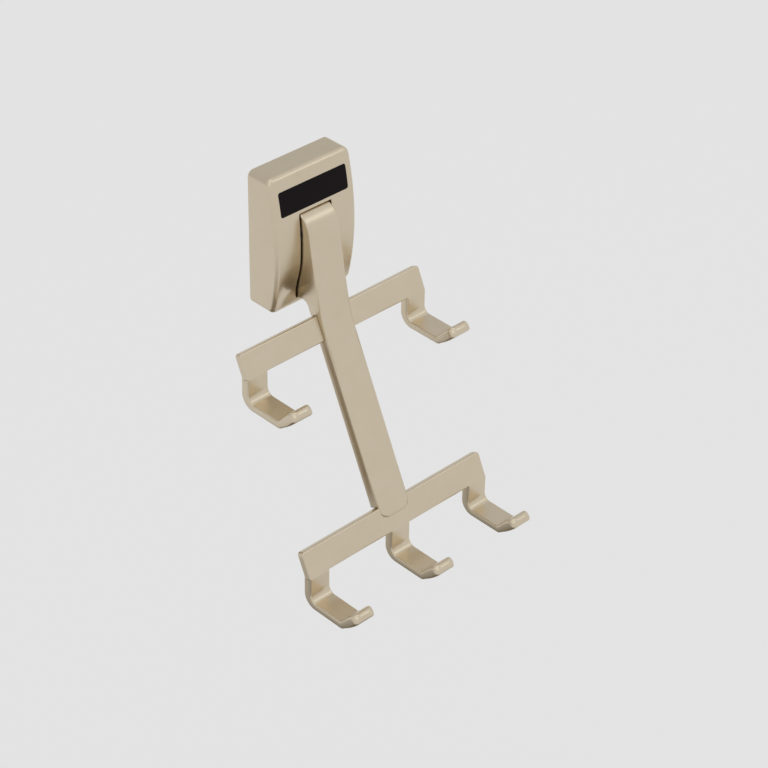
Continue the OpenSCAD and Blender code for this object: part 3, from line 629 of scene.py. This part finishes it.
# Housing: its front is an arc about an axis along X, with a shallow hollow on each side of
# the slot. Rings of points run up the slot's wall, out over the face, down the sides, over
# the rim and back along the inside to the cheeks. Within are the rib behind the rest pad,
# the pads of the pin clamps and the screw bosses.
housingShape = {
    "width": 48.3, "height": 69.0, "top": 34.1, "low": -34.9, "depth": 18.9, "bowR": 128.0,
    "bowLow": 2.3, "cornerR": 3.2, "edgeR": 2.0, "sideWall": 2.3, "endWall": 3.1,
    "frontWall": 5.2, "slotHalf": 9.65,
    "slotR": 0.7, "slotEdgeR": 0.4, "slotTop": 13.9, "cheek": 2.2, "cheekBack": -3.2,
    "knuckleR": 11.3, "hollowDepth": 1.6, "hollowX": 12.4, "hollowReach": 10.4,
    "valleyZ": -26.0, "valleyBend": 0.035, "hollowTop": 16.0, "hollowFoot": 7.0,
    "lockX": 17.0, "lockY": -6.76, "lockR": 2.05, "lockDepth": 8.0,
    "bossR": 3.6, "bossHalf": 2.65, "bossZ": -30.85,
    "rib": [(-10.8, -8.1, -32.5), (10.8, -5.9, -19.4)],
    "clampPad": [(10.6, -15.2, -3.3), (22.6, -13.0, 9.7)],
    "roomR": 1.0, "rimR": 0.4, "slotFoot": 0.15, "faceHold": 1.15,
    "topWithin": 0.02, "sideSteps": (0.08, 0.3, 0.6, 0.9), "roomSteps": (0.3, 0.7, 1.0),
    "ceilingSteps": (0.25, 0.5, 0.75, 1.0), "sidePoints": [50, 170, 50, 170],
    "rings": {"wall": 9, "slotEdge": 5, "face": 44, "edge": 9, "rim": 4},
}
faceR = housingShape["bowR"]
faceAxis = faceR - housingShape["depth"]


# The bow: y = axis - sqrt(r^2 - (z + bowLow)^2)
def bowY(r, z):
    return faceAxis - np.sqrt(r ** 2 - (z + housingShape["bowLow"]) ** 2)


def faceY(z):
    return bowY(faceR, z)


# The bowed face with its hollows: each valley is an arch, with a long slope above it and
# a short lip below it, and fades out on both sides. y = bow + depth * fade * min(above,
# below), each of which eases from 1 to 0.
def frontSurface(x, z, p):
    side = np.abs(x) - p["hollowX"]
    valley = p["valleyZ"] - p["valleyBend"] * side ** 2
    above = 1 - ease((z - valley) / p["hollowTop"])
    below = 1 - ease((valley - z) / p["hollowFoot"])
    fade = 1 - ease(np.abs(side) / p["hollowReach"])
    return faceY(z) + p["hollowDepth"] * fade * np.minimum(above, below)


# A rounded rectangle as a closed ring, with its unit normals in the plane. Each side
# runs from the middle of one corner to the middle of the next.
def ring(left, right, low, high, r, counts, steps=7):
    points, normals = [], []
    corners = [(right - r, high - r), (left + r, high - r),
               (left + r, low + r), (right - r, low + r)]
    for i in range(4):
        a, b = np.array(corners[i]), np.array(corners[(i + 1) % 4])
        start = 45 + 90 * i
        t1 = np.radians(np.linspace(start, start + 45, steps))
        t2 = np.radians(np.linspace(start + 45, start + 90, steps))
        n1 = np.stack([np.cos(t1), np.sin(t1)], -1)
        n2 = np.stack([np.cos(t2), np.sin(t2)], -1)
        f = np.linspace(0, 1, counts[i] + 1)[1:-1, None]
        flat = np.repeat(n1[-1:], len(f), axis=0)
        points += [a + r * n1, a + r * n1[-1] + f * (b - a), b + r * n2[:-1]]
        normals += [n1, flat, n2[:-1]]
    return np.concatenate(points), np.concatenate(normals)


# Points and faces of a surface through closed rings. Each ring runs anticlockwise seen from
# the front, and the rings go outward over the front and back inward behind it. The surface
# goes on from the last ring to the first if it loops.
def ringMesh(rings, loops):
    points = np.array(rings)
    grid = np.arange(points.shape[0] * points.shape[1]).reshape(points.shape[:2])
    following = np.roll(grid, -1, axis=0)
    quads = np.stack([grid, np.roll(grid, -1, axis=1), np.roll(following, -1, axis=1),
                      following], -1)
    if not loops:
        quads = quads[:-1]
    return points.reshape(-1, 3), quads.reshape(-1, 4)


def makeHousing(p):
    w, h = p["width"] / 2, p["height"] / 2
    roomW, roomH = w - p["sideWall"], h - p["endWall"]
    # The slot ends just above the room's floor, so that the two don't coincide
    slotLow = p["slotFoot"] - roomH
    count, counts = p["rings"], p["sidePoints"]
    outer, outerN = ring(-w, w, p["low"], p["top"], p["cornerR"], counts)
    slot, slotN = ring(-p["slotHalf"], p["slotHalf"], slotLow, p["slotTop"], p["slotR"], counts)
    room, roomN = ring(-roomW, roomW, -roomH, roomH, p["roomR"], counts)
    bottom = np.isclose(slot[:, 1], slotLow, atol=p["slotR"])
    topSide = slot[:, 1] > p["slotTop"] - p["topWithin"]
    r, e = p["edgeR"], p["slotEdgeR"]
    rings = []

    def put(xz, y):
        rings.append(np.stack([xz[:, 0], y, xz[:, 1]], -1))

    innerR = faceR - p["frontWall"]
    innerY = bowY(innerR, np.clip(slot[:, 1], -h, h))
    side = ~(bottom | topSide)
    cheekY = np.where(side, p["cheekBack"], innerY)
    cheek = slot + slotN * (p["cheek"] * side)[:, None]
    # Wall of the slot, from its inner end to the face
    mouth = frontSurface(slot[:, 0], slot[:, 1], p) + e
    for f in np.linspace(0, 1, count["wall"]):
        y = cheekY + (mouth - cheekY) * f
        xz = slot.copy()
        bow = pivot[1] + np.sqrt(np.maximum(p["knuckleR"] ** 2 - (y - pivot[0]) ** 2, 0))
        xz[topSide, 1] = np.maximum(p["slotTop"], bow[topSide])
        put(xz, y)
    for d in edgeLines(e, count["slotEdge"])[1:]:
        xz = slot + slotN * d
        put(xz, frontSurface(xz[:, 0], xz[:, 1], p) + edgeDrop(np.full(len(xz), d), e))
    start, end = slot + slotN * (edgeReach * e), outer - outerN * (p["faceHold"] * r)
    for f in np.linspace(0, 1, count["face"])[1:-1]:
        xz = start + (end - start) * f
        put(xz, frontSurface(xz[:, 0], xz[:, 1], p))
    lines = edgeLines(r, count["edge"])
    lines[-1] = p["faceHold"] * r
    for d in lines[::-1]:
        xz = outer - outerN * d
        put(xz, frontSurface(xz[:, 0], xz[:, 1], p) + edgeDrop(np.full(len(xz), d), r))
    edgeY = frontSurface(outer[:, 0], outer[:, 1], p) + r
    for f in p["sideSteps"]:
        put(outer, edgeY * (1 - f))
    rimR = p["rimR"]
    rimLines = edgeLines(rimR, count["rim"])[:-1]
    for d in rimLines:
        put(outer - outerN * d, -edgeDrop(np.full(len(outer), d), rimR))
    for d in rimLines[::-1]:
        put(room + roomN * d, -edgeDrop(np.full(len(outer), d), rimR))
    roomY = bowY(innerR, room[:, 1])
    for f in p["roomSteps"]:
        put(room, -rimR + (roomY + rimR) * f)
    for f in p["ceilingSteps"]:
        xz = room + (cheek - room) * f
        put(xz, bowY(innerR, xz[:, 1]))
    put(cheek, cheekY)
    points, quads = ringMesh(rings, True)
    piece = makePiece("housingCasting", points, quads, "base", nickel,
                      ["housing"], sharp=50)
    padLow, padHigh = p["clampPad"]
    mirroredPad = [(-padHigh[0], *padLow[1:]), (-padLow[0], *padHigh[1:])]

    def lockRods(z, radius, halfLength):
        return [[(side * p["lockX"], p["lockY"], z), (0, 0, 1), radius, halfLength]
                for side in (-1, 1)]

    combine(piece, "UNION", lockRods(p["bossZ"], p["bossR"], p["bossHalf"]),
            [p["rib"], p["clampPad"], mirroredPad])
    combine(piece, "DIFFERENCE", lockRods(p["low"], p["lockR"], p["lockDepth"]))


makeHousing(housingShape)

# Inlay: a thin plate with rounded corners that follows the bowed face
inlayShape = {"width": 40.4, "height": 12.0, "z": 21.6, "r": 1.2, "proud": 0.04, "edgeR": 0.15,
              "thickness": 0.9, "sidePoints": [60, 20, 60, 20], "edgeRings": 4,
              "faceSteps": (0, 0.25, 0.5, 0.75, 0.97), "backSteps": (1, 0.5, 0)}


def makeInlay(p):
    w, h = p["width"] / 2, p["height"] / 2
    outline, normal = ring(-w, w, p["z"] - h, p["z"] + h, p["r"], p["sidePoints"])
    centre = np.array([0, p["z"]])
    rings = []
    inner = outline - normal * p["edgeR"]
    for f in p["faceSteps"]:
        xz = centre + (inner - centre) * f
        rings.append(np.stack([xz[:, 0], faceY(xz[:, 1]) - p["proud"], xz[:, 1]], -1))
    for d in edgeLines(p["edgeR"], p["edgeRings"])[:-1][::-1]:
        xz = outline - normal * d
        y = faceY(xz[:, 1]) - p["proud"] + edgeDrop(np.full(len(xz), d), p["edgeR"])
        rings.append(np.stack([xz[:, 0], y, xz[:, 1]], -1))
    for f in p["backSteps"]:
        xz = centre + (outline - centre) * f
        y = faceY(xz[:, 1]) - p["proud"] + p["thickness"]
        rings.append(np.stack([xz[:, 0], y, xz[:, 1]], -1))
    points, quads = ringMesh(rings, False)
    makePiece("inlayPlate", points, quads, "base", inlayBlack, ["label_inlay"],
              sharp=50)


makeInlay(inlayShape)
print("housing and inlay made")

# The rest of the hardware keeps its own solids and takes a finish
finishes = {
    "wall_plate": zinc, "left_lock_screw": zinc, "right_lock_screw": zinc, "pivot_pin": zinc,
    "left_pin_clamp": zinc, "right_pin_clamp": zinc, "left_clamp_screw": zinc,
    "right_clamp_screw": zinc, "spring_washer": zinc, "rest_pad": rubber,
    "left_bush": nylon, "right_bush": nylon, "upper_screw_left": zinc,
    "upper_screw_right": zinc, "lower_screw_left": zinc, "lower_screw_right": zinc,
}
for name, material in finishes.items():
    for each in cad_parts[name].material_slots:
        each.material = material

# Floor and world
# The dark tone and the distances about its centre paint a shade on the floor that only reflections
# see
stageShape = {"floorZ": -0.45, "size": 30.0, "floorColour": (0.78, 0.78, 0.78, 1.0),
              "background": (0.776, 0.776, 0.776, 1.0), "ambient": 0.93, "even": 0.75,
              "paintedShadeCentre": (-0.18, -0.1, 0.0), "paintedShadeWithin": 0.16, "lightBeyond": 0.52,
              "paintedShadeTone": (0.2, 0.18, 0.15, 1.0), "behind": (0.58, 0.58, 0.58, 1.0),
              "wallFrom": 0.1, "wallTo": 0.7, "paperRoughness": 0.9}


def rayKinds(g, *kinds):
    paths = g.node("ShaderNodeLightPath").socket.node.outputs
    return [Wire(g, paths["Is " + kind + " Ray"]) for kind in kinds]


def makeStage(p):
    mesh = bpy.data.meshes.new("floor")
    s = p["size"]
    mesh.from_pydata([(-s, -s, 0), (s, -s, 0), (s, s, 0), (-s, s, 0)], [], [(0, 1, 2, 3)])
    floor = addObject("floor", mesh)
    floor.location = (0, 0, p["floorZ"])
    # The paper looks even to the camera, and carries a painted shade, dark close under the object,
    # that only reflections see
    material, g = newMaterial("floorPaperWithPaintedShade")
    away = g.node("ShaderNodeVectorMath", {"operation": "DISTANCE"},
                  {0: g.objectPlace(), 1: p["paintedShadeCentre"]}, output="Value")
    lit = g.node("ShaderNodeMapRange", {"interpolation_type": "SMOOTHSTEP"}, {
        "Value": away, "From Min": p["paintedShadeWithin"], "From Max": p["lightBeyond"]})
    camera, glossy = rayKinds(g, "Camera", "Glossy")
    tone = g.mix((1 - glossy) + glossy * lit, p["paintedShadeTone"], p["background"])
    paper = g.node("ShaderNodeBsdfPrincipled", {}, {
        "Base Color": p["floorColour"], "Roughness": p["paperRoughness"],
        "Specular IOR Level": 0.0})
    glow = g.node("ShaderNodeEmission", {}, {"Color": tone})
    finish(g, g.node("ShaderNodeMixShader", {}, {
        0: camera * p["even"] + glossy, 1: paper, 2: glow}))
    mesh.materials.append(material)
    world = bpy.data.worlds.new("studio")
    bpy.context.scene.world = world
    world.use_nodes = True
    g = Graph(world.node_tree)
    camera, glossy, through = rayKinds(g, "Camera", "Glossy", "Transmission")
    seen = camera + glossy + through
    light = g.node("ShaderNodeBackground", {}, {"Color": (1, 1, 1, 1), "Strength": p["ambient"]})
    # Reflections see a room that is a little darker on the side of the wall
    toward = g.node("ShaderNodeSeparateXYZ", {}, {
        "Vector": g.node("ShaderNodeTexCoord", output="Generated")}, output="Y")
    wallSide = g.node("ShaderNodeMapRange", {"interpolation_type": "SMOOTHSTEP"}, {
        "Value": toward, "From Min": p["wallFrom"], "From Max": p["wallTo"]})
    room = g.mix(glossy * wallSide, p["background"], p["behind"])
    plain = g.node("ShaderNodeBackground", {}, {"Color": room, "Strength": 1.0})
    both = g.node("ShaderNodeMixShader", {}, {0: seen, 1: light, 2: plain})
    g.node("ShaderNodeOutputWorld", {}, {"Surface": both})


# A dark strip left and behind the arm, which only reflections see: a painted shade that gives the
# arm's side its shade, and its warm tone is a painted reflection of bounced light. It lies along
# the arm, moved by reach the way the side reflects.
flagShape = {"top": (-9, -30, -41), "foot": (-9, -66, -120), "reach": 70, "halfWidth": 15,
             "mirrored": (-0.574, 0.584, -0.574), "tone": (0.24, 0.18, 0.11, 1.0)}


def makeFlag(p):
    top, foot, mirrored = (np.array(p[k], float) for k in ("top", "foot", "mirrored"))
    side = np.cross(mirrored, foot - top)
    side *= p["halfWidth"] / np.linalg.norm(side)
    corners = np.array([top - side, top + side, foot + side, foot - side])
    mesh = bpy.data.meshes.new("flag")
    mesh.from_pydata(((corners + p["reach"] * mirrored) * mm).tolist(), [], [(0, 1, 2, 3)])
    material, g = newMaterial("paintedShadeStrip")
    # The strip glows in its tone: painted shade and painted reflection, not a lamp
    finish(g, g.node("ShaderNodeEmission", {}, {"Color": p["tone"]}))
    mesh.materials.append(material)
    flag = addObject("flag", mesh)
    flag.visible_camera = flag.visible_diffuse = flag.visible_shadow = False
    flag.visible_transmission = False


# Lamps and the point that they aim at, in metres
lampAim = (0, -0.045, -0.06)
lamps = {
    "key": {"place": (0.95, -0.92, 1.2), "size": 0.5, "power": 0.5},
    "side": {"place": (-0.9, -1.1, 1.3), "size": 0.9, "power": 1.0},
    "top": {"place": (0.1, -0.1, 1.6), "size": 1.0, "power": 1.0},
}


def makeLamp(name, p, aim):
    data = bpy.data.lights.new(name, "AREA")
    data.shape = "SQUARE"
    data.size = p["size"]
    data.energy = p["power"]
    lamp = addObject(name, data)
    lamp.location = p["place"]
    lamp.rotation_mode = "QUATERNION"
    lamp.rotation_quaternion = (aim - Vector(p["place"])).to_track_quat("-Z", "Y")


# Camera: azimuth, elevation and roll in degrees, its place from the object's origin along
# its own axes, its focal length in pixels of a picture so many pixels wide, and its sensor
cameraShape = {"azimuth": -44.48, "elevation": 35.03, "roll": -1.04, "back": 1077.01,
               "right": 43.06, "up": -74.91, "focal": 2380.74, "pixels": 768, "sensor": 36}


def makeCamera(p):
    a, e, t = (math.radians(p[k]) for k in ("azimuth", "elevation", "roll"))
    back = np.array([math.sin(a) * math.cos(e), -math.cos(a) * math.cos(e), math.sin(e)])
    right = np.array([math.cos(a), math.sin(a), 0.0])
    up = np.cross(back, right)
    c, s = math.cos(t), math.sin(t)
    rightTurned, upTurned = c * right - s * up, s * right + c * up
    place = (p["right"] * rightTurned + p["up"] * upTurned + p["back"] * back) * mm
    data = bpy.data.cameras.new("camera")
    data.lens = p["focal"] / p["pixels"] * p["sensor"]
    data.sensor_width = p["sensor"]
    camera = addObject("camera", data)
    turn = Matrix([rightTurned, upTurned, back]).transposed().to_4x4()
    camera.matrix_world = Matrix.Translation(place) @ turn
    bpy.context.scene.camera = camera


makeStage(stageShape)
makeFlag(flagShape)
for name, settings in lamps.items():
    makeLamp(name, settings, Vector(lampAim))
makeCamera(cameraShape)
bpy.context.scene.view_settings.view_transform = "Standard"
print("stage, lamps and camera made")
